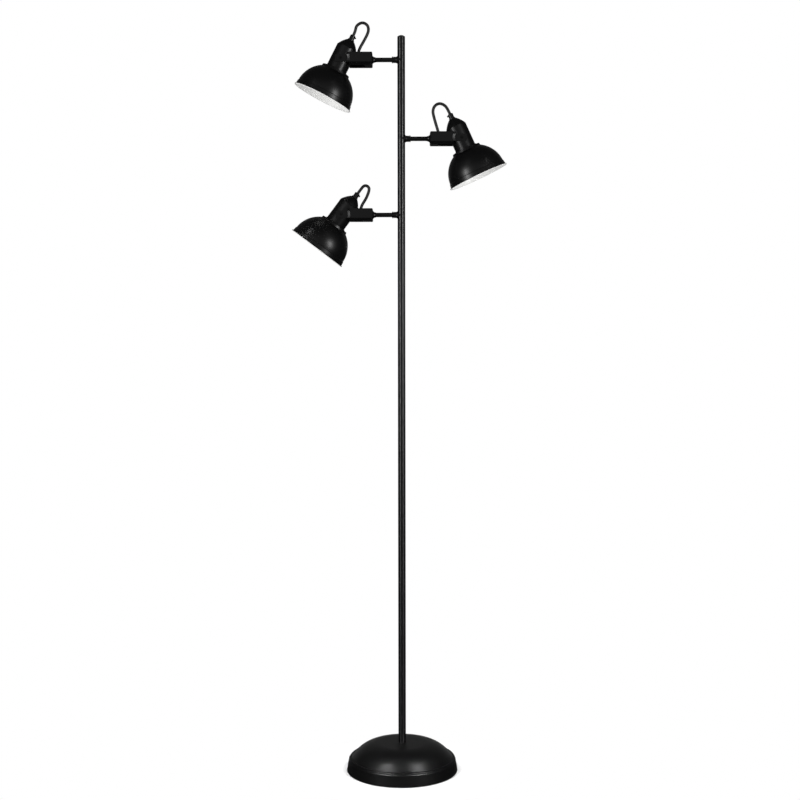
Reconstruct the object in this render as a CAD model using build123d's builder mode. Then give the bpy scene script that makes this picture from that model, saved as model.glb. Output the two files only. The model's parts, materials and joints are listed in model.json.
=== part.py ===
"""Tree floor lamp: a weighted round base, a pole in three sections and three heads on swivel arms.

Millimetres. The origin is on the floor under the pole, +Z is up and the front is -Y.
Arm 1 is the top one and points to -X, arm 2 points to +X, arm 3 is the lowest and points to -X.
"""

from build123d import *
import os
from math import cos, pi, radians, sin, sqrt, tan

os.makedirs("parts", exist_ok=True)

# ---------------------------------------------------------------- clearances
FIT_GAP = 0.05          # radial play of a shaft in its hole, and of parts screwed together
SIDE_GAP = 0.4          # space between faces that move past each other
SEAT_GAP = 0.1          # space between a washer or ring and what it bears on

# ---------------------------------------------------------------- pole
LAMP_HEIGHT = 1653.0    # floor to the top of the pole cap
POLE_RADIUS = 8.5
POLE_WALL = 1.2
POLE_BORE = POLE_RADIUS - POLE_WALL
LOWER_JOINT_HEIGHT = 600.0
UPPER_JOINT_HEIGHT = LAMP_HEIGHT - 551.5
JOINT_CHAMFER = 0.35
JOINER_LENGTH = 44.0
JOINER_BORE = 4.5
CAP_HEAD = 5.0
CAP_DOME = 3.4
CAP_PLUG_LENGTH = 12.0

# ---------------------------------------------------------------- base
BASE_RADIUS = 125.8     # at the cover's lower edge
BASE_HEIGHT = 64.0      # floor to the top of the crown
COVER_WALL = 1.2
COVER_LIFT = 1.0        # gap between the cover's edge and the floor
CROWN_RADIUS = BASE_RADIUS - 73.8   # where the flat crown turns into the dome
CROWN_FALL = 0.4
DOME_ROUNDING = 75.0    # radius of the dome's round part
DOME_TURN = 43.0        # degrees that the round part falls away before it runs straight
DOME_RADIUS = BASE_RADIUS - 11.2    # foot of the dome, where the groove starts
DOME_FOOT_HEIGHT = 32.0
GROOVE_STEP = (0.8, 1.4)
BEAD_RADIUS = BASE_RADIUS - 5.4     # widest part of the rounded bead
BEAD_HEIGHT = 27.6
BEAD_ROUNDING = 3.4
LEDGE = ((0.2, 0.8), (1.5, 2.3))    # out and down from the bead's widest part
PAD_THICKNESS = 3.0
PAD_ROUNDING = 0.8
WEIGHT_RADIUS = BASE_RADIUS - 17.8
WEIGHT_THICKNESS = 14.0
WEIGHT_EDGE = 4.0
HUB_RADIUS = 17.0
HUB_TOP_RADIUS = 13.0
NUT_POCKET_RADIUS = 15.0
NUT_POCKET_DEPTH = 8.0
WASHER_THICKNESS = 1.5
BASE_NUT_THICKNESS = 4.5
BASE_NUT_FLATS = 21.0
NIPPLE_RISE = 32.0      # how far the nipple reaches up into the pole
INLET_HEIGHT = 12.0
INLET_BORE = 3.4
INLET_NECK = 5.0
INLET_FLANGE = 7.0
INLET_LIP = 1.8

# ---------------------------------------------------------------- arms
ARM_DROPS = (54.0, 227.0, 395.0)     # from the top of the pole cap down to each arm
ARM_HEIGHTS = tuple(LAMP_HEIGHT - drop for drop in ARM_DROPS)
ARM_SIDES = (-1, 1, -1)
HEAD_TILTS = (27.0, 24.7, 37.0)     # degrees that each shade leans out from straight down
PIVOT_REACH = 133.0                 # pole axis to tilt pivot
ROD_RADIUS = 5.0
ROD_BORE = 3.6
ROD_HOLE_GAP = 0.3
STUB_RADIUS = ROD_RADIUS + 1.8
STUB_END = POLE_RADIUS + 8.9
STUB_FLARE_RADIUS = STUB_RADIUS + 1.4
STUB_FLARE_START = POLE_RADIUS + 0.7
STUB_FLARE_LENGTH = 3.2
COLLAR_RADIUS = STUB_RADIUS + 0.5
COLLAR_WIDTH = 2.9
COLLAR_GAP = 0.3
COLLAR_CHAMFER = 0.6
CLIP_START = 3.0
CLIP_WIDTH = 1.0
CLIP_RADIUS = ROD_RADIUS + 0.8
CLIP_GROOVE = 0.6
ROD_INNER_END = 1.8
CONE_LENGTH = 7.0
CONE_RIM = 0.8
CONE_SMALL_RADIUS = ROD_RADIUS + 0.6
CONE_LARGE_RADIUS = ROD_RADIUS + 3.4
ROD_NUT_FLATS = 2 * ROD_RADIUS + 4.0
ROD_NUT_THICKNESS = 4.0
ROD_PAST_NUT = 2.0

# ---------------------------------------------------------------- fork housing
HOUSING_START = 63.5                # pole axis to the housing's closed end
HOUSING_END = PIVOT_REACH - 18.0
HOUSING_WALL = 2.0
HOUSING_END_WALL = 3.0
HOUSING_TOP = 13.0                  # above the rod's axis
HOUSING_BOTTOM = 14.0               # below the rod's axis
BEVEL_WIDTH = 6.0
END_CHAMFER = 1.6                   # round the closed end
FLOOR_LENGTH = 17.0                 # closed part of the underside
FLOOR_SLOT_MARGIN = 8.5             # from the housing's side in to the slot
FLOOR_SLOT_CORNER = 6.0
CHEEK_HALF_HEIGHT = 8.0
CHEEK_THICKNESS = 2.0
CHEEK_PAST_PIVOT = 12.0
CHEEK_CORNER = 5.5
CHEEK_OVERLAP = 9.0                 # how far a cheek runs back along the inside of its wall
RECESS_DEPTH = 1.5                  # from the wall's face down to the cheek's face
RECESS_RADIUS = 20.0                # round step where the wall drops to the cheek
GROOVE_RADIUS = 13.2
GROOVE_WIDTH = 1.6
GROOVE_DEPTH = 1.1

# ---------------------------------------------------------------- heads, measured along the head's axis from the pivot
CUP_RADIUS = 23.5
CUP_WALL = 1.5
CUP_TOP = 28.0
CUP_FOOT = 24.5                     # below the pivot
CHEEK_GAP = 0.5                     # between the cup and a cheek
FOOT_RING_RADIUS = CUP_RADIUS + 1.5
FOOT_RING_HEIGHT = 1.8
FRICTION_POCKET = 0.7
SEAM_WIDTH = 0.8
SEAM_DEPTH = 0.7
CAP_TOP = 47.0
CAP_EDGE = 0.8
CAP_FLAT_RADIUS = 8.8
CAP_BULGE = 1.0
CAP_WALL = 1.5
CAP_SKIRT = 6.0
GRIP_FOOT_RADIUS = 7.4
GRIP_FOOT_HEIGHT = 2.6
GRIP_RADIUS = 6.0
GRIP_LENGTH = 13.0
GRIP_ROUNDING = 1.5
GRIP_STEM_RADIUS = 5.0
GRIP_STEM_END = 15.0

FRICTION_RADIUS = 6.2
SCREW_RADIUS = 2.0
SCREW_HEAD_RADIUS = 3.9
SCREW_DRIVE_WIDTH = 2.5
SCREW_DRIVE_DEPTH = 1.2
INNER_NUT_FLATS = 7.0
INNER_NUT_THICKNESS = 1.6
SCREW_PAST_NUT = 0.6

HOLDER_RADIUS = CUP_RADIUS - 5.3
HOLDER_TOP = 24.0
HOLDER_MOUTH = 40.0                 # below the pivot
HOLDER_TOP_RADIUS = 12.5
HOLDER_NECK_END = 14.0
HOLDER_SHOULDER = 10.0
HOLDER_FLANGE_RADIUS = CUP_RADIUS - 2.5
HOLDER_FLANGE_HEIGHT = 3.0
HOLDER_FLOOR = 8.0                  # below the pivot
SHELL_BORE = 13.3                   # screw shell for a 26 mm lamp thread
SHELL_WALL = 0.5
SHELL_LENGTH = 24.0
SHELL_RECESS = 3.0                  # from the mouth in to the shell's edge
CONTACT_RADIUS = 3.5
CONTACT_HEIGHT = 3.0

SHADE_WALL = 1.0
SHADE_RADIUS = 64.5                 # of the bowl's round part
SHADE_HOLE_GAP = 1.0
SEAT_RADIUS = FOOT_RING_RADIUS + 1.0    # flat seat under the cup's foot ring
BOSS_RADIUS = SEAT_RADIUS + 6.0         # stepped ring on top of the bowl
BOSS_FOOT = 29.70072                # below the pivot, where the bowl's round part starts
BOSS_DROP = 0.8
BOSS_STEP = 1.2
SHADE_CENTRE = BOSS_FOOT + sqrt(SHADE_RADIUS ** 2 - (BOSS_RADIUS + BOSS_STEP) ** 2)     # below the pivot
FLARE_START = SHADE_CENTRE - 3.5
FLARE_STEP = 1.1
FLARE_RADIUS = SHADE_RADIUS + 2.3
RIM_END = SHADE_CENTRE + 8.5
RIM_WIRE = 1.3                      # radius of the rolled edge
CLAMP_RING_RADIUS = SEAT_RADIUS - 1.5
CLAMP_RING_HEIGHT = 5.0
CLAMP_RING_CHAMFER = 1.0

# ---------------------------------------------------------------- leads
FLEX_RADIUS = 3.25
FLEX_IN_ROD = 4.0
FLEX_IN_GRIP = 3.0
FLEX_LEG = 10.0                     # straight run out of the cord grip
# Points between the rod's axis and the grip's axis, out from the pole's axis and up from the arm's.
FLEX_FIRST_POINTS = (84.0, 77.5, 81.5)
FLEX_ROUTES = (
    [(96.5, 9.5), (92.5, 24.5), (83.5, 39.5), (75.5, 54.0), (71.5, 65.5), (74.5, 77.0), (86.0, 82.0), (97.5, 74.0)],
    [(84.0, 8.0), (80.5, 20.5), (76.5, 33.0), (72.5, 47.0), (69.5, 60.5), (73.5, 72.5), (84.5, 78.5), (97.0, 73.5)],
    [(91.5, 8.5), (88.5, 21.5), (80.5, 33.0), (74.5, 45.5), (71.2, 57.1), (73.5, 62.6), (78.9, 65.3), (84.7, 63.9)],
)

# ---------------------------------------------------------------- sizes that follow
CHEEK_INNER = CUP_RADIUS + CHEEK_GAP
CHEEK_FACE = CHEEK_INNER + CHEEK_THICKNESS
HOUSING_HALF_WIDTH = CHEEK_FACE + RECESS_DEPTH
ROD_OUTER_END = HOUSING_START + HOUSING_END_WALL + ROD_NUT_THICKNESS + ROD_PAST_NUT
COLLAR_START = STUB_END + COLLAR_GAP
NIPPLE_RADIUS = POLE_BORE - FIT_GAP
CUP_BORE = CUP_RADIUS - CUP_WALL
GRIP_TOP = CAP_TOP + GRIP_LENGTH
FRICTION_SEAT = CUP_RADIUS - FRICTION_POCKET
RIM_WIRE_RADIUS = FLARE_RADIUS + RIM_WIRE / 2


# ---------------------------------------------------------------- frames and small helpers
def arm_frame(height, side):
    """Local x runs out along the arm, local z is up."""
    return Plane(origin=(0, 0, height), x_dir=(side, 0, 0), z_dir=(0, 0, 1))


def head_frame(arm, tilt):
    """Origin on the tilt pivot, local z runs up the head's axis to the cord grip."""
    lean = radians(tilt)
    pivot = arm.origin + arm.x_dir * PIVOT_REACH
    x_dir = arm.x_dir * cos(lean) + arm.z_dir * sin(lean)
    z_dir = arm.z_dir * cos(lean) - arm.x_dir * sin(lean)
    return Plane(origin=pivot, x_dir=x_dir, z_dir=z_dir)


def section(frame):
    """The frame's own x-z plane."""
    return Plane(origin=frame.origin, x_dir=frame.x_dir, z_dir=-frame.y_dir)


def across(frame, x=0.0):
    """The plane square to the frame's local x, with local y and z as its own x and y."""
    return Plane(origin=frame.origin + frame.x_dir * x, x_dir=frame.y_dir, z_dir=frame.x_dir)


def cheek_plane(frame, side, y):
    """The plane y away from the middle on one side, facing outwards."""
    return Plane(origin=frame.origin + frame.y_dir * (side * y), x_dir=frame.x_dir, z_dir=frame.y_dir * side)


def pivot_section(frame, side):
    """The plane through the pivot axis, for outlines of (radius, distance from the middle)."""
    pivot = frame.origin + frame.x_dir * PIVOT_REACH
    return Plane(origin=pivot, x_dir=frame.x_dir, z_dir=frame.z_dir * side)


def screw_section(head, side):
    """The plane through the head's pivot axis, for outlines of (radius, distance from the middle)."""
    return Plane(origin=head.origin, x_dir=head.x_dir, z_dir=head.z_dir * side)


def turned(plane, axis, points):
    """The solid that a closed outline of straight lines makes when it is revolved about the axis."""
    with BuildSketch(plane) as outline:
        with BuildLine():
            Polyline(*points, close=True)
        make_face()
    return revolve(outline.sketch, axis=axis, mode=Mode.PRIVATE)


def save(part, name):
    part.label = name
    export_step(part, f"parts/{name}.step")


FLOOR = Plane.XY
UPRIGHT = section(FLOOR)


# ---------------------------------------------------------------- base
def skirt_slope():
    """Outward run of the skirt for each unit of height."""
    return (BASE_RADIUS - BEAD_RADIUS - LEDGE[1][0]) / (BEAD_HEIGHT - LEDGE[1][1] - COVER_LIFT)


def inlet_plane():
    """Sits on the rear of the skirt, facing outwards."""
    slope = skirt_slope()
    radius = BASE_RADIUS - slope * (INLET_HEIGHT - COVER_LIFT)
    return Plane(origin=(0, radius, INLET_HEIGHT), x_dir=(1, 0, 0), z_dir=(0, 1, slope))


def base_cover():
    """Spun dome: a flat crown, a round dome, a groove, a rounded bead, a small ledge and a steep skirt."""
    centre = (NIPPLE_RADIUS + FIT_GAP, BASE_HEIGHT)
    crown_edge = (CROWN_RADIUS, BASE_HEIGHT - CROWN_FALL)
    dome_foot = (DOME_RADIUS, DOME_FOOT_HEIGHT)
    groove = (DOME_RADIUS + GROOVE_STEP[0], DOME_FOOT_HEIGHT - GROOVE_STEP[1])
    bead_top = (BEAD_RADIUS - BEAD_ROUNDING, BEAD_HEIGHT + BEAD_ROUNDING)
    bead_side = (BEAD_RADIUS, BEAD_HEIGHT)
    ledge = [(BEAD_RADIUS + out, BEAD_HEIGHT - down) for out, down in LEDGE]
    with BuildPart() as cover:
        with BuildSketch(UPRIGHT):
            with BuildLine():
                Line(centre, crown_edge)
                dome = JernArc(crown_edge, Vector(*crown_edge) - Vector(*centre), DOME_ROUNDING, -DOME_TURN)
                Polyline(dome @ 1, dome_foot, groove)
                ThreePointArc(groove, bead_top, bead_side)
                Polyline(bead_side, *ledge, (BASE_RADIUS, COVER_LIFT))
                offset(amount=COVER_WALL, side=Side.RIGHT)
            make_face()
        revolve(axis=Axis.Z)
        with BuildSketch(inlet_plane().offset(-3 * COVER_WALL)):
            Circle(INLET_NECK)
        extrude(amount=6 * COVER_WALL, mode=Mode.SUBTRACT)
    return cover.part


def base_weight():
    """Cast plate with a hub that carries the crown, bored for the nipple and pocketed for its nut."""
    low = PAD_THICKNESS
    high = PAD_THICKNESS + WEIGHT_THICKNESS
    bore = NIPPLE_RADIUS + FIT_GAP
    crown = BASE_HEIGHT - CROWN_FALL / 4 - COVER_WALL - SEAT_GAP
    outline = [(NUT_POCKET_RADIUS, low), (WEIGHT_RADIUS, low), (WEIGHT_RADIUS, high - WEIGHT_EDGE),
               (WEIGHT_RADIUS - WEIGHT_EDGE, high), (HUB_RADIUS, high), (HUB_TOP_RADIUS, crown), (bore, crown),
               (bore, low + NUT_POCKET_DEPTH), (NUT_POCKET_RADIUS, low + NUT_POCKET_DEPTH)]
    with BuildPart() as weight:
        add(turned(UPRIGHT, Axis.Z, outline))
    return weight.part


def base_pad():
    rim = BASE_RADIUS - COVER_WALL - SIDE_GAP - skirt_slope() * (PAD_THICKNESS - COVER_LIFT)
    with BuildPart() as pad:
        with BuildSketch(FLOOR):
            Circle(rim)
        extrude(amount=PAD_THICKNESS)
        chamfer(pad.edges().group_by(Axis.Z)[0], PAD_ROUNDING)
    return pad.part


def base_nipple():
    start = PAD_THICKNESS + SEAT_GAP
    with BuildPart() as nipple:
        with BuildSketch(FLOOR.offset(start)):
            Circle(NIPPLE_RADIUS)
            Circle(JOINER_BORE, mode=Mode.SUBTRACT)
        extrude(amount=BASE_HEIGHT + NIPPLE_RISE - start)
    return nipple.part


def base_nut():
    """Washer and hexagon nut, one above the other in the ballast's pocket."""
    washer_low = PAD_THICKNESS + NUT_POCKET_DEPTH - WASHER_THICKNESS
    nut_low = washer_low - BASE_NUT_THICKNESS
    with BuildPart() as nut:
        with BuildSketch(FLOOR.offset(washer_low)):
            Circle(NUT_POCKET_RADIUS - SIDE_GAP)
            Circle(NIPPLE_RADIUS + FIT_GAP, mode=Mode.SUBTRACT)
        extrude(amount=WASHER_THICKNESS)
        with BuildSketch(FLOOR.offset(nut_low)):
            RegularPolygon(BASE_NUT_FLATS / 2, 6, major_radius=False)
            Circle(NIPPLE_RADIUS + FIT_GAP, mode=Mode.SUBTRACT)
        extrude(amount=BASE_NUT_THICKNESS)
    return nut.part


def cord_inlet_grommet():
    """Rubber bush in the rear of the skirt, with a lip on each side of the sheet."""
    seat = inlet_plane()
    inner = -COVER_WALL - SIDE_GAP
    neck = INLET_NECK - FIT_GAP
    outline = [(INLET_BORE, inner - INLET_LIP), (INLET_FLANGE, inner - INLET_LIP), (INLET_FLANGE, inner),
               (neck, inner), (neck, SEAT_GAP), (INLET_FLANGE, SEAT_GAP), (INLET_FLANGE - 1, INLET_LIP),
               (INLET_BORE, INLET_LIP)]
    with BuildPart() as grommet:
        add(turned(section(seat), Axis(seat.origin, seat.z_dir), outline))
    return grommet.part


# ---------------------------------------------------------------- pole
def pole_tube(start, end, arms=()):
    """Steel tube with chamfered ends, and a hole for each arm's rod."""
    top = end - start
    half = [(POLE_BORE, 0), (POLE_RADIUS - JOINT_CHAMFER, 0), (POLE_RADIUS, JOINT_CHAMFER),
            (POLE_RADIUS, top - JOINT_CHAMFER), (POLE_RADIUS - JOINT_CHAMFER, top), (POLE_BORE, top)]
    with BuildPart() as tube:
        add(turned(section(FLOOR.offset(start)), Axis.Z, half))
        for arm in arms:
            with BuildSketch(across(arm)):
                Circle(ROD_RADIUS + ROD_HOLE_GAP)
            extrude(amount=POLE_RADIUS + 1, mode=Mode.SUBTRACT)
    return tube.part


def pole_joiner(height):
    """Hollow bush inside two tube ends that meet at this height."""
    with BuildPart() as joiner:
        with BuildSketch(FLOOR.offset(height - JOINER_LENGTH / 2)):
            Circle(NIPPLE_RADIUS)
            Circle(JOINER_BORE, mode=Mode.SUBTRACT)
        extrude(amount=JOINER_LENGTH)
    return joiner.part


def pole_cap():
    low = LAMP_HEIGHT - CAP_HEAD
    outline = [(0, low - CAP_PLUG_LENGTH), (NIPPLE_RADIUS, low - CAP_PLUG_LENGTH), (NIPPLE_RADIUS, low),
               (POLE_RADIUS, low)]
    shoulder = (POLE_RADIUS, LAMP_HEIGHT - CAP_DOME)
    with BuildPart() as cap:
        with BuildSketch(UPRIGHT):
            with BuildLine():
                Polyline((0, LAMP_HEIGHT), *outline, shoulder)
                TangentArc((0, LAMP_HEIGHT), shoulder, tangent=(1, 0))
            make_face()
        revolve(axis=Axis.Z)
    return cap.part


def arm_stub(arm):
    """Short collar that sits saddle-wise on the pole, with a flared root."""
    bore = ROD_RADIUS + FIT_GAP
    flare_end = STUB_FLARE_START + STUB_FLARE_LENGTH
    middle = (STUB_FLARE_START + 0.3 * STUB_FLARE_LENGTH, STUB_RADIUS + 0.3 * (STUB_FLARE_RADIUS - STUB_RADIUS))
    with BuildPart() as stub:
        with BuildSketch(section(arm)):
            with BuildLine():
                Polyline((STUB_FLARE_START, STUB_FLARE_RADIUS), (0, STUB_FLARE_RADIUS), (0, bore), (STUB_END, bore),
                         (STUB_END, STUB_RADIUS), (flare_end, STUB_RADIUS))
                ThreePointArc((flare_end, STUB_RADIUS), middle, (STUB_FLARE_START, STUB_FLARE_RADIUS))
            make_face()
        revolve(axis=Axis(arm.origin, arm.x_dir))
        with BuildSketch(arm.offset(-2 * STUB_FLARE_RADIUS)):
            Circle(POLE_RADIUS + FIT_GAP)
        extrude(amount=4 * STUB_FLARE_RADIUS, mode=Mode.SUBTRACT)
    return stub.part


# ---------------------------------------------------------------- arms
def arm_rod(arm):
    """Hollow rod with a groove for its clip and an upset collar that turns against the stub."""
    groove = ROD_RADIUS - CLIP_GROOVE
    collar_end = COLLAR_START + COLLAR_WIDTH
    outline = [(ROD_INNER_END, ROD_BORE), (ROD_INNER_END, ROD_RADIUS), (CLIP_START, ROD_RADIUS), (CLIP_START, groove),
               (CLIP_START + CLIP_WIDTH + FIT_GAP, groove), (CLIP_START + CLIP_WIDTH + FIT_GAP, ROD_RADIUS),
               (COLLAR_START, ROD_RADIUS), (COLLAR_START, COLLAR_RADIUS - COLLAR_CHAMFER),
               (COLLAR_START + COLLAR_CHAMFER, COLLAR_RADIUS), (collar_end - COLLAR_CHAMFER, COLLAR_RADIUS),
               (collar_end, COLLAR_RADIUS - COLLAR_CHAMFER), (collar_end, ROD_RADIUS), (ROD_OUTER_END, ROD_RADIUS),
               (ROD_OUTER_END, ROD_BORE)]
    with BuildPart() as rod:
        add(turned(section(arm), Axis(arm.origin, arm.x_dir), outline))
    return rod.part


def swivel_clip(arm):
    """Snap ring in the rod's groove, open on one side."""
    with BuildPart() as clip:
        with BuildSketch(across(arm, CLIP_START)):
            Circle(CLIP_RADIUS)
            Circle(ROD_RADIUS - CLIP_GROOVE + FIT_GAP, mode=Mode.SUBTRACT)
            with Locations((0, CLIP_RADIUS)):
                Rectangle(ROD_RADIUS, CLIP_RADIUS, mode=Mode.SUBTRACT)
        extrude(amount=CLIP_WIDTH)
    return clip.part


def rod_collar(arm):
    """Bell-shaped nut that locks the rod to the housing from outside."""
    start = (HOUSING_START - CONE_LENGTH, CONE_SMALL_RADIUS)
    end = (HOUSING_START - CONE_RIM, CONE_LARGE_RADIUS)
    middle = (start[0] + 0.6 * (end[0] - start[0]), start[1] + 0.3 * (end[1] - start[1]))
    bore = ROD_RADIUS + FIT_GAP
    with BuildPart() as collar:
        with BuildSketch(section(arm)):
            with BuildLine():
                Polyline(end, (HOUSING_START, CONE_LARGE_RADIUS), (HOUSING_START, bore), (start[0], bore), start)
                ThreePointArc(start, middle, end)
            make_face()
        revolve(axis=Axis(arm.origin, arm.x_dir))
    return collar.part


def rod_nut(arm):
    with BuildPart() as nut:
        with BuildSketch(across(arm, HOUSING_START + HOUSING_END_WALL)):
            RegularPolygon(ROD_NUT_FLATS / 2, 6, major_radius=False)
            Circle(ROD_RADIUS + FIT_GAP, mode=Mode.SUBTRACT)
        extrude(amount=ROD_NUT_THICKNESS)
    return nut.part


def trough_outline(half_width, top, bottom):
    """Cross-section with bevelled lower edges, as (y, z) points."""
    bevel_top = -CHEEK_HALF_HEIGHT
    inset = half_width - BEVEL_WIDTH
    return [(half_width, top), (half_width, bevel_top), (inset, -bottom), (-inset, -bottom), (-half_width, bevel_top),
            (-half_width, top)]


def fork_housing(arm):
    """Open-topped trough that ends in two cheeks, each set back behind a round step about the pivot."""
    length = HOUSING_END - HOUSING_START
    inner_half = HOUSING_HALF_WIDTH - HOUSING_WALL
    slot_start = HOUSING_START + FLOOR_LENGTH
    slot_length = HOUSING_END + FLOOR_SLOT_CORNER + 1 - slot_start
    cheek_start = HOUSING_END - CHEEK_OVERLAP
    cheek_end = PIVOT_REACH + CHEEK_PAST_PIVOT
    step_inner = GROOVE_RADIUS + GROOVE_WIDTH
    groove_floor = CHEEK_FACE - GROOVE_DEPTH
    outside = HOUSING_HALF_WIDTH + 1
    recess = [(0, CHEEK_FACE), (GROOVE_RADIUS, CHEEK_FACE), (GROOVE_RADIUS + 0.4, groove_floor),
              (step_inner, groove_floor), (RECESS_RADIUS, HOUSING_HALF_WIDTH), (RECESS_RADIUS, outside), (0, outside)]
    sink = CHEEK_FACE - SCREW_HEAD_RADIUS + SCREW_RADIUS
    hole = SCREW_RADIUS + FIT_GAP
    screw_hole = [(0, CHEEK_INNER - 1), (hole, CHEEK_INNER - 1), (hole, sink),
                  (SCREW_HEAD_RADIUS + FIT_GAP, CHEEK_FACE), (SCREW_HEAD_RADIUS + FIT_GAP, outside), (0, outside)]
    pivot_axis = Axis(arm.origin + arm.x_dir * PIVOT_REACH, arm.y_dir)
    with BuildPart() as housing:
        with BuildSketch(across(arm, HOUSING_START)):
            with BuildLine():
                Polyline(*trough_outline(HOUSING_HALF_WIDTH, HOUSING_TOP, HOUSING_BOTTOM), close=True)
            make_face()
        extrude(amount=length)
        chamfer(housing.faces().sort_by(Axis(arm.origin, arm.x_dir))[0].edges(), END_CHAMFER)
        with BuildSketch(across(arm, HOUSING_START + HOUSING_END_WALL)):
            with BuildLine():
                Polyline(*trough_outline(inner_half, HOUSING_TOP + 1, HOUSING_BOTTOM - HOUSING_WALL), close=True)
            make_face()
        extrude(amount=length, mode=Mode.SUBTRACT)
        with BuildSketch(arm.offset(-HOUSING_BOTTOM - 1)):
            with Locations((slot_start + slot_length / 2, 0)):
                RectangleRounded(slot_length, 2 * (HOUSING_HALF_WIDTH - FLOOR_SLOT_MARGIN), FLOOR_SLOT_CORNER)
        extrude(amount=HOUSING_WALL + 2, mode=Mode.SUBTRACT)
        with BuildSketch(across(arm, HOUSING_START)):
            Circle(ROD_RADIUS + FIT_GAP)
        extrude(amount=HOUSING_END_WALL, mode=Mode.SUBTRACT)
        for side in (1, -1):
            with BuildSketch(cheek_plane(arm, side, CHEEK_INNER)) as cheek:
                with Locations(((cheek_start + cheek_end) / 2, 0)):
                    Rectangle(cheek_end - cheek_start, 2 * CHEEK_HALF_HEIGHT)
                fillet(cheek.vertices().sort_by(Axis(arm.origin, arm.x_dir))[-2:], CHEEK_CORNER)
            extrude(amount=HOUSING_HALF_WIDTH - CHEEK_INNER)
            add(turned(pivot_section(arm, side), pivot_axis, recess), mode=Mode.SUBTRACT)
            add(turned(pivot_section(arm, side), pivot_axis, screw_hole), mode=Mode.SUBTRACT)
    return housing.part


def friction_washers(head):
    """Two fibre discs in the cup's side pockets."""
    with BuildPart() as washers:
        for side in (1, -1):
            with BuildSketch(cheek_plane(head, side, FRICTION_SEAT + SEAT_GAP / 2)):
                Circle(FRICTION_RADIUS)
                Circle(SCREW_RADIUS + FIT_GAP, mode=Mode.SUBTRACT)
            extrude(amount=CHEEK_INNER - FRICTION_SEAT - SEAT_GAP)
    return washers.part


# ---------------------------------------------------------------- heads
def pivot_screws(head):
    """Countersunk socket screws through the cheeks, each with a hexagon nut inside the cup."""
    nut_outer = sqrt(CUP_BORE ** 2 - (INNER_NUT_FLATS / 1.7) ** 2) - SEAT_GAP
    tip = nut_outer - INNER_NUT_THICKNESS - SCREW_PAST_NUT
    sink = CHEEK_FACE - SCREW_HEAD_RADIUS + SCREW_RADIUS
    outline = [(0, tip), (SCREW_RADIUS, tip), (SCREW_RADIUS, sink), (SCREW_HEAD_RADIUS, CHEEK_FACE), (0, CHEEK_FACE)]
    with BuildPart() as screws:
        for side in (1, -1):
            add(turned(screw_section(head, side), Axis(head.origin, head.y_dir), outline))
            with BuildSketch(cheek_plane(head, side, CHEEK_FACE)):
                RegularPolygon(SCREW_DRIVE_WIDTH / 2, 6, major_radius=False)
            extrude(amount=-SCREW_DRIVE_DEPTH, mode=Mode.SUBTRACT)
            with BuildSketch(cheek_plane(head, side, nut_outer)):
                RegularPolygon(INNER_NUT_FLATS / 2, 6, major_radius=False)
                Circle(SCREW_RADIUS + FIT_GAP, mode=Mode.SUBTRACT)
            extrude(amount=-INNER_NUT_THICKNESS)
    return screws.part


def cup(head):
    """Drawn tube with a foot ring, a flat pocket and a screw hole on each side."""
    outline = [(CUP_BORE, -CUP_FOOT), (FOOT_RING_RADIUS, -CUP_FOOT), (FOOT_RING_RADIUS, -CUP_FOOT + FOOT_RING_HEIGHT),
               (CUP_RADIUS, -CUP_FOOT + FOOT_RING_HEIGHT), (CUP_RADIUS, CUP_TOP), (CUP_BORE, CUP_TOP)]
    with BuildPart() as body:
        add(turned(section(head), Axis(head.origin, head.z_dir), outline))
        for side in (1, -1):
            with BuildSketch(cheek_plane(head, side, FRICTION_SEAT)):
                Circle(FRICTION_RADIUS + SIDE_GAP)
            extrude(amount=CUP_WALL, mode=Mode.SUBTRACT)
            with BuildSketch(cheek_plane(head, side, CUP_BORE - CUP_WALL)):
                Circle(SCREW_RADIUS + FIT_GAP)
            extrude(amount=3 * CUP_WALL, mode=Mode.SUBTRACT)
    return body.part


def cup_cap(head):
    """Domed cap whose skirt slips into the cup, with a narrow seam left open between them."""
    seam_top = CUP_TOP + SEAM_WIDTH
    edge = (CUP_RADIUS - CAP_EDGE, seam_top + CAP_EDGE)
    top = (CAP_FLAT_RADIUS, CAP_TOP)
    chord = Vector(*top) - Vector(*edge)
    out = Vector(chord.Y, -chord.X).normalized()
    middle = (Vector(*edge) + Vector(*top)) / 2
    bulge = middle + out * CAP_BULGE
    inner_bulge = middle - out * (CAP_WALL - CAP_BULGE)
    inner_edge = (CUP_BORE - CAP_WALL, seam_top)
    inner_top = (CAP_FLAT_RADIUS - CAP_WALL / 3, CAP_TOP - CAP_WALL)
    skirt = CUP_BORE - FIT_GAP
    stem = GRIP_STEM_RADIUS + FIT_GAP
    with BuildPart() as cap:
        with BuildSketch(section(head)):
            with BuildLine():
                ThreePointArc(edge, (bulge.X, bulge.Y), top)
                Polyline(top, (stem, CAP_TOP), (stem, CAP_TOP - CAP_WALL), inner_top)
                ThreePointArc(inner_top, (inner_bulge.X, inner_bulge.Y), inner_edge)
                Polyline(inner_edge, (CUP_BORE - CAP_WALL, CUP_TOP - CAP_SKIRT), (skirt, CUP_TOP - CAP_SKIRT),
                         (skirt, CUP_TOP), (CUP_RADIUS - SEAM_DEPTH, CUP_TOP), (CUP_RADIUS - SEAM_DEPTH, seam_top),
                         (CUP_RADIUS, seam_top), edge)
            make_face()
        revolve(axis=Axis(head.origin, head.z_dir))
    return cap.part


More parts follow.
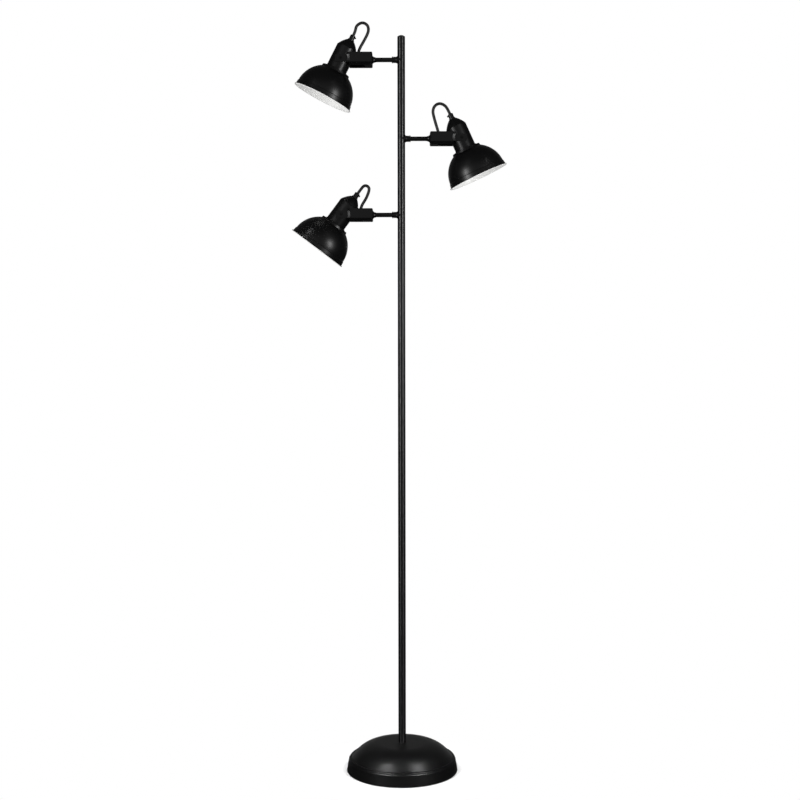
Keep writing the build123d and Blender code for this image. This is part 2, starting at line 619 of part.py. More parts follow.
def cord_grip(head):
    """Turned gland with a foot and a rounded end, and a stem that ties cap and lampholder together."""
    bend = GRIP_ROUNDING * (1 - sqrt(0.5))
    foot_top = CAP_TOP + GRIP_FOOT_HEIGHT
    with BuildPart() as grip:
        with BuildSketch(section(head)):
            with BuildLine():
                Polyline((GRIP_RADIUS - GRIP_ROUNDING, GRIP_TOP), (ROD_BORE, GRIP_TOP), (ROD_BORE, GRIP_STEM_END),
                         (GRIP_STEM_RADIUS, GRIP_STEM_END), (GRIP_STEM_RADIUS, CAP_TOP), (GRIP_FOOT_RADIUS, CAP_TOP),
                         (GRIP_FOOT_RADIUS, foot_top), (GRIP_RADIUS, foot_top), (GRIP_RADIUS, GRIP_TOP - GRIP_ROUNDING))
                ThreePointArc((GRIP_RADIUS, GRIP_TOP - GRIP_ROUNDING), (GRIP_RADIUS - bend, GRIP_TOP - bend),
                              (GRIP_RADIUS - GRIP_ROUNDING, GRIP_TOP))
            make_face()
        revolve(axis=Axis(head.origin, head.z_dir))
    return grip.part


def lampholder(head):
    """Moulded body: a neck for the grip's stem, a flange on the shade and a deep socket."""
    stem = GRIP_STEM_RADIUS + FIT_GAP
    socket = SHELL_BORE + SHELL_WALL + FIT_GAP
    flange_top = -CUP_FOOT + HOLDER_FLANGE_HEIGHT
    outline = [(0, HOLDER_NECK_END), (stem, HOLDER_NECK_END), (stem, HOLDER_TOP), (HOLDER_TOP_RADIUS, HOLDER_TOP),
               (HOLDER_TOP_RADIUS, HOLDER_NECK_END), (HOLDER_RADIUS, HOLDER_SHOULDER), (HOLDER_RADIUS, flange_top),
               (HOLDER_FLANGE_RADIUS, flange_top), (HOLDER_FLANGE_RADIUS, -CUP_FOOT), (HOLDER_RADIUS, -CUP_FOOT),
               (HOLDER_RADIUS, -HOLDER_MOUTH), (socket, -HOLDER_MOUTH), (socket, -HOLDER_FLOOR), (0, -HOLDER_FLOOR)]
    with BuildPart() as holder:
        add(turned(section(head), Axis(head.origin, head.z_dir), outline))
    return holder.part


def holder_contacts(head):
    """Brass screw shell and the centre contact on the socket's floor."""
    shell_low = -HOLDER_MOUTH + SHELL_RECESS
    with BuildPart() as contacts:
        with BuildSketch(head.offset(shell_low)):
            Circle(SHELL_BORE + SHELL_WALL)
            Circle(SHELL_BORE, mode=Mode.SUBTRACT)
        extrude(amount=SHELL_LENGTH)
        with BuildSketch(head.offset(-HOLDER_FLOOR)):
            Circle(CONTACT_RADIUS)
        extrude(amount=-CONTACT_HEIGHT)
    return contacts.part


def shade(head):
    """Spun bowl: flat seat, stepped boss, round bowl, then a grooved and flared rim with a rolled edge."""
    boss_edge = (BOSS_RADIUS, -CUP_FOOT - BOSS_DROP)
    bowl_start_radius = BOSS_RADIUS + BOSS_STEP
    bowl_start = (bowl_start_radius, -SHADE_CENTRE + sqrt(SHADE_RADIUS ** 2 - bowl_start_radius ** 2))
    bowl_end = (sqrt(SHADE_RADIUS ** 2 - (SHADE_CENTRE - FLARE_START) ** 2), -FLARE_START)
    bowl_middle = (SHADE_RADIUS * sqrt(0.5), -SHADE_CENTRE + SHADE_RADIUS * sqrt(0.5))
    groove_end = (bowl_end[0] + FLARE_STEP, -FLARE_START - FLARE_STEP)
    wire_height = -RIM_END + RIM_WIRE
    with BuildPart() as bowl:
        with BuildSketch(section(head)):
            with BuildLine():
                Line((HOLDER_RADIUS + SHADE_HOLE_GAP, -CUP_FOOT), (SEAT_RADIUS, -CUP_FOOT))
                Line((SEAT_RADIUS, -CUP_FOOT), boss_edge)
                Line(boss_edge, bowl_start)
                ThreePointArc(bowl_start, bowl_middle, bowl_end)
                Line(bowl_end, groove_end)
                Line(groove_end, (FLARE_RADIUS, wire_height))
                offset(amount=SHADE_WALL, side=Side.RIGHT)
            make_face()
            with Locations((RIM_WIRE_RADIUS, wire_height)):
                RegularPolygon(RIM_WIRE, 8)
        revolve(axis=Axis(head.origin, head.z_dir))
    return bowl.part


def shade_ring(head):
    """Threaded ring under the shade's seat."""
    high = -CUP_FOOT - SHADE_WALL - SEAT_GAP
    low = high - CLAMP_RING_HEIGHT
    bore = HOLDER_RADIUS + FIT_GAP
    outline = [(bore, high), (CLAMP_RING_RADIUS, high), (CLAMP_RING_RADIUS, low + CLAMP_RING_CHAMFER),
               (CLAMP_RING_RADIUS - CLAMP_RING_CHAMFER, low), (bore, low)]
    with BuildPart() as ring:
        add(turned(section(head), Axis(head.origin, head.z_dir), outline))
    return ring.part


# ---------------------------------------------------------------- leads
def bend_radii(points):
    """The largest arc at each corner that its two runs allow."""
    radii = []
    for before, corner, after in zip(points, points[1:], points[2:]):
        run_in = Vector(*corner) - Vector(*before)
        run_out = Vector(*after) - Vector(*corner)
        turn = radians(run_in.get_angle(run_out))
        radii.append(0.45 * min(run_in.length, run_out.length) / tan(turn / 2))
    return radii


def flex(arm, number):
    """Lead from the rod's mouth up through the trough, over in a loop and down into the cord grip."""
    tilt = radians(HEAD_TILTS[number])
    leg_end = GRIP_TOP + FLEX_LEG
    grip_end = GRIP_TOP - FLEX_IN_GRIP
    points = [(ROD_OUTER_END - FLEX_IN_ROD, 0.0), (FLEX_FIRST_POINTS[number], 0.0)]
    points += FLEX_ROUTES[number]
    points += [(PIVOT_REACH - sin(tilt) * reach, cos(tilt) * reach) for reach in (leg_end, grip_end)]
    radii = bend_radii(points)
    with BuildPart() as lead:
        with BuildLine(section(arm)) as route:
            FilletPolyline(*points, radius=radii)
        with BuildSketch(Plane(origin=route.wire() @ 0, z_dir=route.wire() % 0)):
            Circle(FLEX_RADIUS)
        sweep()
    length = route.wire().length
    expected = pi * FLEX_RADIUS ** 2 * length
    print(f"flex {number + 1}: {length:.1f} mm, volume ratio {lead.part.volume / expected:.4f}, radii",
          [round(radius, 1) for radius in radii])
    return lead.part


# ---------------------------------------------------------------- the lamp
arms = [arm_frame(height, side) for height, side in zip(ARM_HEIGHTS, ARM_SIDES)]
heads = [head_frame(arm, tilt) for arm, tilt in zip(arms, HEAD_TILTS)]

save(base_cover(), "base_cover")
save(base_weight(), "base_weight")
save(base_pad(), "base_pad")
save(base_nipple(), "base_nipple")
save(base_nut(), "base_nut")
save(cord_inlet_grommet(), "cord_inlet_grommet")
save(pole_tube(BASE_HEIGHT, LOWER_JOINT_HEIGHT), "pole_lower")
save(pole_tube(LOWER_JOINT_HEIGHT, UPPER_JOINT_HEIGHT), "pole_middle")
save(pole_tube(UPPER_JOINT_HEIGHT, LAMP_HEIGHT - CAP_HEAD, arms), "pole_upper")
save(pole_joiner(LOWER_JOINT_HEIGHT), "pole_joiner_lower")
save(pole_joiner(UPPER_JOINT_HEIGHT), "pole_joiner_upper")
save(pole_cap(), "pole_cap")

for number, (arm, head) in enumerate(zip(arms, heads)):
    tag = number + 1
    save(arm_stub(arm), f"arm_stub_{tag}")
    save(arm_rod(arm), f"arm_rod_{tag}")
    save(swivel_clip(arm), f"swivel_clip_{tag}")
    save(rod_collar(arm), f"rod_collar_{tag}")
    save(rod_nut(arm), f"rod_nut_{tag}")
    save(fork_housing(arm), f"fork_housing_{tag}")
    save(friction_washers(head), f"friction_washers_{tag}")
    save(pivot_screws(head), f"pivot_screws_{tag}")
    save(cup(head), f"cup_{tag}")
    save(cup_cap(head), f"cup_cap_{tag}")
    save(cord_grip(head), f"cord_grip_{tag}")
    save(lampholder(head), f"lampholder_{tag}")
    save(holder_contacts(head), f"holder_contacts_{tag}")
    save(shade(head), f"shade_{tag}")
    save(shade_ring(head), f"shade_ring_{tag}")
    save(flex(arm, number), f"flex_{tag}")
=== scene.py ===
import json
from math import cos, pi, radians, sin

import bmesh
import bpy
from mathutils import Matrix, Vector


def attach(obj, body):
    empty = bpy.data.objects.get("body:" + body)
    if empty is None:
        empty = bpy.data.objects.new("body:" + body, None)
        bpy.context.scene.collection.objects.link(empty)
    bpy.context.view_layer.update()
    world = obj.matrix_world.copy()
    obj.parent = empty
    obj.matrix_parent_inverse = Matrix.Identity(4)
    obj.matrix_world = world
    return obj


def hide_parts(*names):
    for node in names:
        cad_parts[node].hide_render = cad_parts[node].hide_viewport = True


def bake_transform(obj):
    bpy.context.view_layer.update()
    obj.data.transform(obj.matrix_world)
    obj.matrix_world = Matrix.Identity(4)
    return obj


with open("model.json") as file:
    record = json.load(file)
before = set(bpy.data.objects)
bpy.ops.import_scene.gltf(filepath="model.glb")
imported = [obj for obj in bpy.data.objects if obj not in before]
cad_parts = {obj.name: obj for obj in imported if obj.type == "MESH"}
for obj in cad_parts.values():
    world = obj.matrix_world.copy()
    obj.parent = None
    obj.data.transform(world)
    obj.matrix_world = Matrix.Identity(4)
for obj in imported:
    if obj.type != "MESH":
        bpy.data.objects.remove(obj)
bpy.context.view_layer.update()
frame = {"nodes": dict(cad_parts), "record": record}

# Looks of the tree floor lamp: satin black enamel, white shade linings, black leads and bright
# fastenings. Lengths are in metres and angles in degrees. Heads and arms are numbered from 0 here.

# ---------------------------------------------------------------- arms
ARM_HEIGHTS = (1.599, 1.426, 1.258)
ARM_SIDES = (-1, 1, -1)
HEAD_TILTS = (27.0, 24.7, 37.0)
PIVOT_REACH = 0.133       # from the pole's axis to the tilt pivot
ROD_OUTER_END = 0.0725    # from the pole's axis
POLE_TUBES = ("pole_lower", "pole_middle", "pole_upper")

# ---------------------------------------------------------------- heads: heights are from the pivot
GRIP_TOP = 0.060
GRIP_RADIUS = 0.006
SHADE_CENTRE = -0.085
SHADE_RADIUS = 0.0645
SHADE_WALL = 0.001
FLARE_TOP = -0.0820
FLARE_SLOPE = 0.17        # how fast the flare widens on its way down
FLARE_STEP = 0.0007       # how much wider it starts
RIM_WIRE_HEIGHT = -0.0922
RIM_MARGIN = 0.0003
LOW_PART = -0.0800        # below it a point's distance tells inside from outside, above it its normal
SHELL_BORE = 0.0133
SHELL_BORE_SHARE = 0.9    # the thread starts at this share of the bore
THREAD_PITCH = 0.00363
THREAD_DEPTH = 0.0006

# ---------------------------------------------------------------- cord grip screws
SCREW_HEIGHT = 0.0565
SCREW_RADIUS = 0.0016
SCREW_REACH = 0.0084
SCREW_START = 0.8         # share of the grip's radius
SCREW_SEGMENTS = 24
SOCKET_WALL = 0.45        # this and the next three are shares of the screw's radius
HEAD_DIP = 0.1
SOCKET_DEPTH = 0.6
EDGE_ROUND = 0.15
SAME_HEIGHT = 1e-7

# ---------------------------------------------------------------- leads
FLEX_DIAMETER = 0.0065
FLEX_IN_ROD = 0.004
FLEX_IN_GRIP = 0.003
FLEX_LEG = 0.010          # straight part above the grip
FLEX_FIRST_POINTS = (0.084, 0.0775, 0.0815)
# Points between the rod's axis and the grip's, out from the pole's axis and up from the arm's.
FLEX_ROUTES = (
    [(0.0965, 0.0095), (0.0925, 0.0245), (0.0835, 0.0395), (0.0755, 0.0540),
     (0.0715, 0.0655), (0.0745, 0.0770), (0.0865, 0.0825), (0.0995, 0.0745)],
    [(0.0840, 0.0080), (0.0805, 0.0205), (0.0765, 0.0330), (0.0725, 0.0470),
     (0.0695, 0.0605), (0.0735, 0.0725), (0.0845, 0.0785), (0.0970, 0.0735)],
    [(0.0915, 0.0085), (0.0885, 0.0215), (0.0805, 0.0330), (0.0745, 0.0455),
     (0.0712, 0.0571), (0.0735, 0.0626), (0.0789, 0.0653), (0.0847, 0.0639)],
)

# ---------------------------------------------------------------- colours
ENAMEL_DARK = (0.0018, 0.0018, 0.0020, 1)
ENAMEL_LIGHT = (0.0026, 0.0026, 0.0028, 1)
ENAMEL_ROUGHNESS = 0.33
LINING_DARK = (0.80, 0.80, 0.79, 1)
LINING_LIGHT = (0.84, 0.84, 0.83, 1)
BRASS_DARK = (0.62, 0.42, 0.16, 1)
BRASS_LIGHT = (0.78, 0.57, 0.27, 1)
FIBRE_DARK = (0.16, 0.045, 0.02, 1)
FIBRE_LIGHT = (0.26, 0.085, 0.04, 1)
WHITE = (1, 1, 1, 1)

# ---------------------------------------------------------------- camera
CAMERA_PLACE = (-0.0038, -3.062, 1.029)
CAMERA_PITCH = -3.44
CAMERA_ROLL = -0.087
CAMERA_SENSOR = 36.0      # mm
CAMERA_LENS = 61.45       # mm
CAMERA_CLIP = (0.05, 50)

# ---------------------------------------------------------------- floor and world
FLOOR_SIZE = 14
WHITE_STARTS = 0.128      # distances from the lamp between which the floor turns plain white
WHITE_FULL = 0.24
MIRRORED_FLOOR = 0.02     # level of the floor in reflections
AMBIENT = 0.80            # level of the soft light
ROOM_ABOVE = 0.025        # levels of the room in reflections
ROOM_AHEAD = 0.16
ROOM_BEHIND = 0.10
# Parts of a direction, up or along y, between which the band and the two walls of the room fade.
BAND_FADE = (0.06, 0.01)
BAND_SIDES = 0.9
AHEAD_FADE = (0.6, 0.95)
BEHIND_FADE = (0.5, 0.9)

# ---------------------------------------------------------------- lamps
# One of each on either side. A lamp whose face has no height is round, and a narrow spread is
# that of a lamp with a grid in front. Power is in watts.
LAMPS = (
    {"name": "strip", "place": (2.0, -2.0, 1.38), "aims_at": 1.38,
     "width": 0.5, "height": 1.05, "power": 26, "spread": 180},
    {"name": "top lamp", "place": (1.9, -1.9, 3.5), "aims_at": 1.3,
     "width": 0.6, "height": 0, "power": 0.6, "spread": 180},
    {"name": "base lamp", "place": (1.35, -1.0, 2.8), "aims_at": 0.0,
     "width": 0.5, "height": 0, "power": 0.48, "spread": 22},
)


# ---------------------------------------------------------------- frames and objects
def arm_matrix(number):
    """Local x runs out along the arm, z is up."""
    turn = Matrix.Rotation(0 if ARM_SIDES[number] > 0 else pi, 4, "Z")
    return Matrix.Translation((0, 0, ARM_HEIGHTS[number])) @ turn


def head_matrix(number):
    """Origin on the tilt pivot, local z runs up the head's axis to the cord grip."""
    tilt = Matrix.Rotation(-radians(HEAD_TILTS[number]), 4, "Y")
    return arm_matrix(number) @ Matrix.Translation((PIVOT_REACH, 0, 0)) @ tilt


def add_object(name, data):
    """A new object in the scene."""
    added = bpy.data.objects.new(name, data)
    bpy.context.scene.collection.objects.link(added)
    return added


def make_camera():
    data = bpy.data.cameras.new("camera")
    data.sensor_width = CAMERA_SENSOR
    data.lens = CAMERA_LENS
    data.clip_start, data.clip_end = CAMERA_CLIP
    camera = add_object("camera", data)
    pitch = Matrix.Rotation(radians(90 + CAMERA_PITCH), 4, "X")
    roll = Matrix.Rotation(radians(CAMERA_ROLL), 4, "Z")
    camera.matrix_world = Matrix.Translation(CAMERA_PLACE) @ pitch @ roll
    bpy.context.scene.camera = camera


# ---------------------------------------------------------------- leads
def flex_points(number):
    """The route's points, from the rod's mouth to the cord grip."""
    tilt = radians(HEAD_TILTS[number])
    points = [(ROD_OUTER_END - FLEX_IN_ROD, 0.0), (FLEX_FIRST_POINTS[number], 0.0)]
    points += FLEX_ROUTES[number]
    for reach in (GRIP_TOP + FLEX_LEG, GRIP_TOP - FLEX_IN_GRIP):
        points.append((PIVOT_REACH - sin(tilt) * reach, cos(tilt) * reach))
    return [arm_matrix(number) @ Vector((out, 0, up)) for out, up in points]


def flex_mesh(number, radius):
    """The lead as a mesh: a tube along its smooth curve, or with no radius that curve alone."""
    points = flex_points(number)
    data = bpy.data.curves.new(f"lead_{number + 1}", "CURVE")
    data.dimensions = "3D"
    spline = data.splines.new("NURBS")
    spline.points.add(len(points) - 1)
    for place, point in zip(spline.points, points):
        place.co = (*point, 1)
    spline.order_u = 3
    spline.use_endpoint_u = True
    spline.resolution_u = 12
    data.bevel_depth = radius
    data.bevel_resolution = 6
    source = bpy.data.objects.new("lead_source", data)
    mesh = bpy.data.meshes.new_from_object(source)
    bpy.data.objects.remove(source)
    return mesh


def make_flex(number, material):
    """The lead as a mesh tube along its route between the arm and the head, in place of the CAD lead.
    """
    mesh = flex_mesh(number, FLEX_DIAMETER / 2)
    piece = add_object(f"lead_{number + 1}", mesh)
    mesh.materials.clear()
    mesh.materials.append(material)
    for face in mesh.polygons:
        face.use_smooth = True
    path = [vertex.co.copy() for vertex in flex_mesh(number, 0).vertices]
    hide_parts(f"flex_{number + 1}")
    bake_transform(piece)


# ---------------------------------------------------------------- cord grip screws
def make_grip_screw(number, material):
    """The small socket screw that clamps the lead, on the side of the grip that faces the arm."""
    form = bmesh.new()
    length = SCREW_REACH - SCREW_START * GRIP_RADIUS
    bmesh.ops.create_cone(form, cap_ends=True, segments=SCREW_SEGMENTS, radius1=SCREW_RADIUS,
                          radius2=SCREW_RADIUS, depth=length)
    head = max(form.faces, key=lambda face: face.calc_center_median().z)
    bmesh.ops.inset_region(form, faces=[head], thickness=SCREW_RADIUS * SOCKET_WALL)
    bmesh.ops.translate(form, verts=head.verts, vec=(0, 0, -SCREW_RADIUS * HEAD_DIP))
    socket = bmesh.ops.extrude_discrete_faces(form, faces=[head])["faces"][0]
    bmesh.ops.translate(form, verts=socket.verts, vec=(0, 0, -SCREW_RADIUS * SOCKET_DEPTH))
    top = max(vertex.co.z for vertex in form.verts)
    rim = [edge for edge in form.edges
           if all(abs(vertex.co.z - top) < SAME_HEIGHT for vertex in edge.verts)]
    bmesh.ops.bevel(form, geom=rim, offset=SCREW_RADIUS * EDGE_ROUND, offset_type="OFFSET",
                    affect="EDGES", segments=3, profile=0.5, material=-1)
    turn = Matrix.Rotation(radians(-90), 4, "Y")
    middle = Matrix.Translation((-(SCREW_REACH - length / 2), 0, SCREW_HEIGHT))
    bmesh.ops.transform(form, matrix=head_matrix(number) @ middle @ turn, verts=form.verts)
    bmesh.ops.recalc_face_normals(form, faces=form.faces)
    mesh = bpy.data.meshes.new(f"grip_screw_{number + 1}")
    form.to_mesh(mesh)
    form.free()
    piece = add_object(f"grip_screw_{number + 1}", mesh)
    mesh.materials.append(material)
    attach(piece, f"head_{number + 1}")


# ---------------------------------------------------------------- shader nodes
class Socket:
    """An output socket whose operators add Math nodes."""

    def __init__(self, nodes, output):
        self.nodes = nodes
        self.output = output

    def _math(self, operation, other, flipped=False):
        first, second = (other, self) if flipped else (self, other)
        return self.nodes.node("ShaderNodeMath", {"operation": operation}, {0: first, 1: second})

    def __add__(self, other):
        return self._math("ADD", other)

    def __radd__(self, other):
        return self._math("ADD", other, True)

    def __sub__(self, other):
        return self._math("SUBTRACT", other)

    def __rsub__(self, other):
        return self._math("SUBTRACT", other, True)

    def __mul__(self, other):
        return self._math("MULTIPLY", other)

    def __pow__(self, other):
        return self._math("POWER", other)

    def __gt__(self, other):
        return self._math("GREATER_THAN", other)

    def __lt__(self, other):
        return self._math("LESS_THAN", other)

    def either(self, other):
        return self._math("MAXIMUM", other)


class Nodes:
    """A node tree under construction."""

    def __init__(self, tree):
        self.tree = tree

    def node(self, kind, settings=None, values=None, output=0):
        """Adds a node: its settings first, then a value or link for each socket named."""
        made = self.tree.nodes.new(kind)
        for name, value in (settings or {}).items():
            setattr(made, name, value)
        for name, value in (values or {}).items():
            self.fill(made.inputs[name], value)
        return Socket(self, made.outputs[output])

    def fill(self, entry, value):
        """Links an input socket, or gives it a constant."""
        if isinstance(value, Socket):
            self.tree.links.new(value.output, entry)
        else:
            entry.default_value = value

    def place(self):
        """Object coordinates."""
        return self.node("ShaderNodeTexCoord", output="Object")

    def noise(self, scale, detail, roughness=0.5):
        return self.node("ShaderNodeTexNoise", None, {
            "Vector": self.place(), "Scale": scale, "Detail": detail, "Roughness": roughness})

    def mix(self, factor, a, b):
        """Colour mix."""
        return self.node("ShaderNodeMix", {"data_type": "RGBA"},
                         {"Factor": factor, 6: a, 7: b}, output=2)

    def from_point(self, place, point):
        """The way from a point to a place."""
        return self.node("ShaderNodeVectorMath", {"operation": "SUBTRACT"}, {0: place, 1: point})

    def dot(self, a, b):
        return self.node("ShaderNodeVectorMath", {"operation": "DOT_PRODUCT"},
                         {0: a, 1: b}, output="Value")

    def fade(self, value, start, end):
        """0 at the start and 1 at the end, with a smooth step between them."""
        return self.node("ShaderNodeMapRange", {"interpolation_type": "SMOOTHSTEP"},
                         {"Value": value, "From Min": start, "From Max": end})

    def bump(self, height, strength, distance):
        return self.node("ShaderNodeBump", None,
                         {"Height": height, "Strength": strength, "Distance": distance})


class Finish(Nodes):
    """A material under construction, with its Principled shader."""

    def __init__(self, name):
        self.material = bpy.data.materials.new(name)
        self.material.use_nodes = True
        super().__init__(self.material.node_tree)
        self.shader = self.tree.nodes["Principled BSDF"]

    def set(self, **values):
        """Sets or links the Principled shader's sockets."""
        for name, value in values.items():
            self.fill(self.shader.inputs[name.replace("_", " ")], value)


def grey(level):
    return (level, level, level, 1.0)


# ---------------------------------------------------------------- finishes
def enamel_look(finish):
    """Sockets of satin black enamel: colour, roughness and normal."""
    cloud = finish.noise(22.0, detail=3.0)
    orange_peel = finish.noise(900.0, detail=2.0)
    dust = finish.noise(5200.0, detail=1.0) > 0.74
    colour = finish.mix(cloud, ENAMEL_DARK, ENAMEL_LIGHT)
    roughness = ENAMEL_ROUGHNESS + cloud * 0.02 + dust * 0.03
    return colour, roughness, finish.bump(orange_peel, strength=0.05, distance=0.00004)


def black_enamel():
    finish = Finish("satin black enamel")
    colour, roughness, normal = enamel_look(finish)
    finish.set(Base_Color=colour, Roughness=roughness, Normal=normal)
    return finish.material


def pole_enamel():
    """The same enamel on the drawn tubes of the pole, whose gleam runs along them."""
    finish = Finish("pole enamel")
    colour, roughness, normal = enamel_look(finish)
    finish.set(Base_Color=colour, Roughness=roughness * 0.85, Normal=normal,
               Specular_IOR_Level=0.8, Anisotropic=0.9, Anisotropic_Rotation=0.25)
    return finish.material


def head_place(finish, number):
    """A point's place from the head's pivot, and its height along the head's axis."""
    matrix = head_matrix(number)
    from_pivot = finish.from_point(finish.place(), matrix.translation)
    return from_pivot, finish.dot(from_pivot, matrix.col[2].xyz)


def shade_enamel(number):
    """Black outside and white inside, down to the underside of the rolled rim."""
    finish = Finish(f"shade enamel {number + 1}")
    colour, roughness, normal = enamel_look(finish)
    from_pivot, height = head_place(finish, number)
    from_middle = finish.from_point(from_pivot, head_matrix(number).col[2].xyz * SHADE_CENTRE)
    facing = finish.node("ShaderNodeTexCoord", output="Normal")
    faces_middle = finish.dot(from_middle, facing) < 0.0
    reach = finish.dot(from_middle, from_middle) ** 0.5
    flare = (FLARE_TOP - height) * FLARE_SLOPE + FLARE_STEP
    wall_middle = (SHADE_RADIUS - SHADE_WALL / 2) + (height < FLARE_TOP) * flare
    inner_side = (reach < wall_middle).either(height < RIM_WIRE_HEIGHT - RIM_MARGIN)
    low = height < LOW_PART
    inside = faces_middle * (1 - low) + inner_side * low
    white = finish.mix(finish.noise(25.0, detail=2.0), LINING_DARK, LINING_LIGHT)
    finish.set(Base_Color=finish.mix(inside, colour, white), Roughness=roughness, Normal=normal)
    return finish.material


def bright_steel(name, shade, roughness):
    """Plated, plain or blackened steel with a fine grain."""
    finish = Finish(name)
    grain = finish.noise(900.0, detail=3.0)
    colour = finish.mix(grain, grey(shade * 0.85), grey(shade))
    finish.set(Base_Color=colour, Metallic=1.0, Roughness=roughness + grain * 0.12,
               Normal=finish.bump(grain, strength=0.1, distance=0.00005))
    return finish.material


def dull(name, dark, light, roughness, scale, depth):
    """Rubber, resin, fibre or cast iron: a mottled dull surface."""
    finish = Finish(name)
    mottle = finish.noise(scale, detail=5.0, roughness=0.6)
    finish.set(Base_Color=finish.mix(mottle, dark, light), Roughness=roughness + mottle * 0.15,
               Normal=finish.bump(mottle, strength=0.3, distance=depth))
    return finish.material


def socket_brass(number):
    """Stamped brass with the rolled thread of the screw shell."""
    finish = Finish(f"socket brass {number + 1}")
    grain = finish.noise(700.0, detail=3.0)
    from_pivot, height = head_place(finish, number)
    away = (finish.dot(from_pivot, from_pivot) - height * height) ** 0.5
    matrix = head_matrix(number)
    across, along = (finish.dot(from_pivot, matrix.col[axis].xyz) for axis in (1, 0))
    angle = finish.node("ShaderNodeMath", {"operation": "ARCTAN2"}, {0: across, 1: along})
    wave = finish.node("ShaderNodeMath", {"operation": "SINE"},
                       {0: height * (2 * pi / THREAD_PITCH) + angle})
    thread = wave * (away > SHELL_BORE * SHELL_BORE_SHARE)
    colour = finish.mix(grain, BRASS_DARK, BRASS_LIGHT)
    finish.set(Base_Color=colour, Metallic=1.0, Roughness=0.24 + grain * 0.14,
               Normal=finish.bump(thread, strength=1.0, distance=THREAD_DEPTH))
    return finish.material


def lead_sheath():
    finish = Finish("lead sheath")
    grain = finish.noise(1200.0, detail=3.0)
    colour = finish.mix(grain, grey(0.006), grey(0.009))
    finish.set(Base_Color=colour, Roughness=0.42 + grain * 0.08,
               Normal=finish.bump(grain, strength=0.1, distance=0.00005))
    return finish.material


def slot_finishes():
    """The finish of each material slot that looks the same on all its nodes."""
    return {
        "black_enamel": black_enamel(),
        "black_screws": bright_steel("blackened steel", shade=0.03, roughness=0.38),
        "zinc_steel": bright_steel("zinc plated steel", shade=0.62, roughness=0.28),
        "spring_steel": bright_steel("spring steel", shade=0.42, roughness=0.35),
        "cast_iron": dull("cast iron", grey(0.035), grey(0.07),
                          roughness=0.7, scale=260.0, depth=0.0006),
        "pad_rubber": dull("pad sheet", grey(0.012), grey(0.024),
                           roughness=0.8, scale=420.0, depth=0.0003),
        "black_rubber": dull("black rubber", grey(0.010), grey(0.018),
                             roughness=0.65, scale=500.0, depth=0.0001),
        "fibre": dull("red fibre", FIBRE_DARK, FIBRE_LIGHT,
                      roughness=0.7, scale=900.0, depth=0.0002),
        "black_flex": lead_sheath(),
        "black_resin": dull("black resin", grey(0.012), grey(0.020),
                            roughness=0.42, scale=300.0, depth=0.00008),
    }


def paint_nodes(finishes):
    """Gives each CAD node the finish of its material slot."""
    along_pole = pole_enamel()
    for row in frame["record"]["subparts"]:
        node, slot = row["node"], row["material_slot"]
        if slot == "shade_enamel":
            material = shade_enamel(int(node[-1]) - 1)
        elif slot == "brass_contacts":
            material = socket_brass(int(node[-1]) - 1)
        elif node in POLE_TUBES:
            material = along_pole
        else:
            material = finishes[slot]
        for place in frame["nodes"][node].material_slots:
            place.material = material


# ---------------------------------------------------------------- stage
def seen_rays(nodes):
    """1 for rays that come from the camera or through glass, and 1 for mirror-like ones."""
    camera = nodes.node("ShaderNodeLightPath", output="Is Camera Ray")
    through = nodes.node("ShaderNodeLightPath", output="Is Transmission Ray")
    mirrored = nodes.node("ShaderNodeLightPath", output="Is Glossy Ray")
    return camera.either(through), mirrored


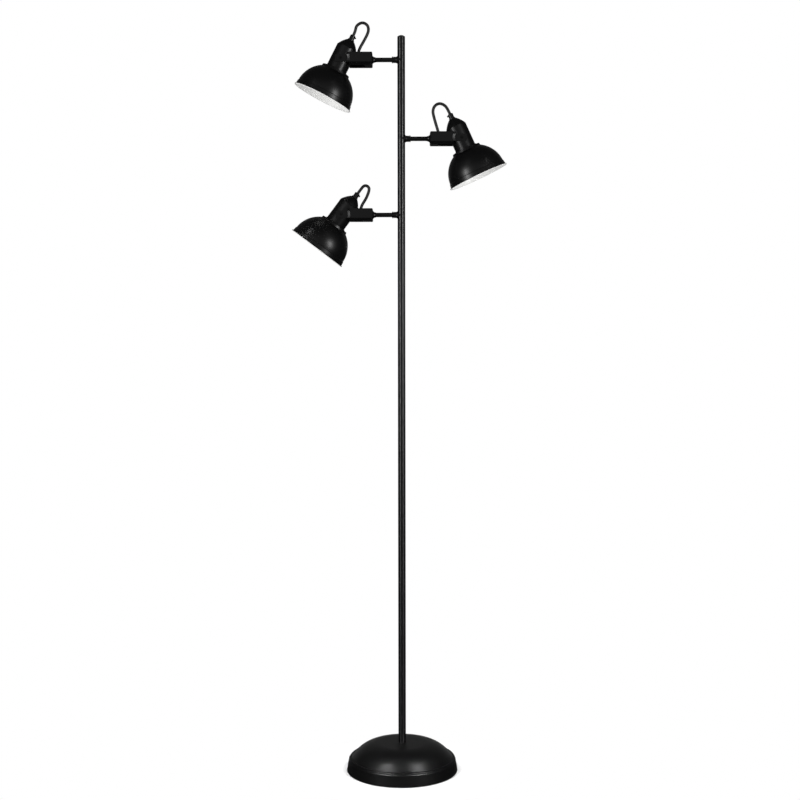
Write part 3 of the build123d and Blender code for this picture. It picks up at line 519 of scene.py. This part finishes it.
def make_floor():
    """Pale floor: it takes the light and shadow near the lamp, and turns plain white further out."""
    mesh = bpy.data.meshes.new("floor")
    form = bmesh.new()
    bmesh.ops.create_grid(form, x_segments=1, y_segments=1, size=FLOOR_SIZE)
    form.to_mesh(mesh)
    form.free()
    floor = add_object("floor", mesh)
    finish = Finish("pale floor")
    finish.set(Base_Color=(0.9, 0.9, 0.9, 1), Roughness=0.9, Specular_IOR_Level=0.0)
    distance = finish.dot(finish.place(), finish.place()) ** 0.5
    far = finish.fade(distance, WHITE_STARTS, WHITE_FULL)
    seen, mirrored = seen_rays(finish)
    strength = 1 - mirrored * (1 - MIRRORED_FLOOR)
    white = finish.node("ShaderNodeEmission", None, {"Color": WHITE, "Strength": strength})
    lit = Socket(finish, finish.shader.outputs[0])
    mixed = finish.node("ShaderNodeMixShader", None,
                        {0: (far * seen).either(mirrored), 1: lit, 2: white})
    finish.fill(finish.tree.nodes["Material Output"].inputs["Surface"], mixed)
    mesh.materials.append(finish.material)


def make_world():
    """White behind the lamp, a plain level for its soft light, and a dim room in its reflections."""
    world = bpy.data.worlds.new("studio")
    bpy.context.scene.world = world
    world.use_nodes = True
    world.cycles.sampling_method = "NONE"    # each kind of ray meets the level meant for it
    room = Nodes(world.node_tree)
    seen, mirrored = seen_rays(room)
    heading = room.node("ShaderNodeTexCoord", output="Generated")
    up = room.dot(heading, (0, 0, 1))
    along = room.dot(heading, (0, 1, 0))
    band = room.fade(up, *BAND_FADE) * (along > BAND_SIDES) * (up > 0.0)
    ahead = room.fade(along * -1, *AHEAD_FADE)
    behind = room.fade(along, *BEHIND_FADE)
    room_level = (ROOM_ABOVE + ahead * (ROOM_AHEAD - ROOM_ABOVE)
                  + behind * (ROOM_BEHIND - ROOM_ABOVE))
    soft_light = AMBIENT + mirrored * (room_level - AMBIENT)
    white = seen.either(mirrored * band)
    background = room.tree.nodes["Background"]
    background.inputs["Color"].default_value = WHITE
    room.fill(background.inputs["Strength"], soft_light + white * (1 - soft_light))


def make_lamp(side, name, place, aims_at, width, height, power, spread):
    """An area lamp on one side, turned to a height on the pole's axis."""
    data = bpy.data.lights.new(name, "AREA")
    data.shape = "RECTANGLE" if height else "DISK"
    data.size = width
    if height:
        data.size_y = height
    data.energy = power
    data.spread = radians(spread)
    lamp = add_object(name, data)
    lamp.location = (side * place[0], place[1], place[2])
    way = Vector((0, 0, aims_at)) - lamp.location
    lamp.rotation_euler = way.to_track_quat("-Z", "Y").to_euler()


# ---------------------------------------------------------------- the scene
make_camera()
finishes = slot_finishes()
paint_nodes(finishes)
for number in range(3):
    make_flex(number, finishes["black_flex"])
    make_grip_screw(number, finishes["black_screws"])
make_floor()
make_world()
for side in (-1, 1):
    for lamp in LAMPS:
        make_lamp(side, **lamp)

bpy.context.scene.view_settings.view_transform = "Standard"
bpy.context.view_layer.update()
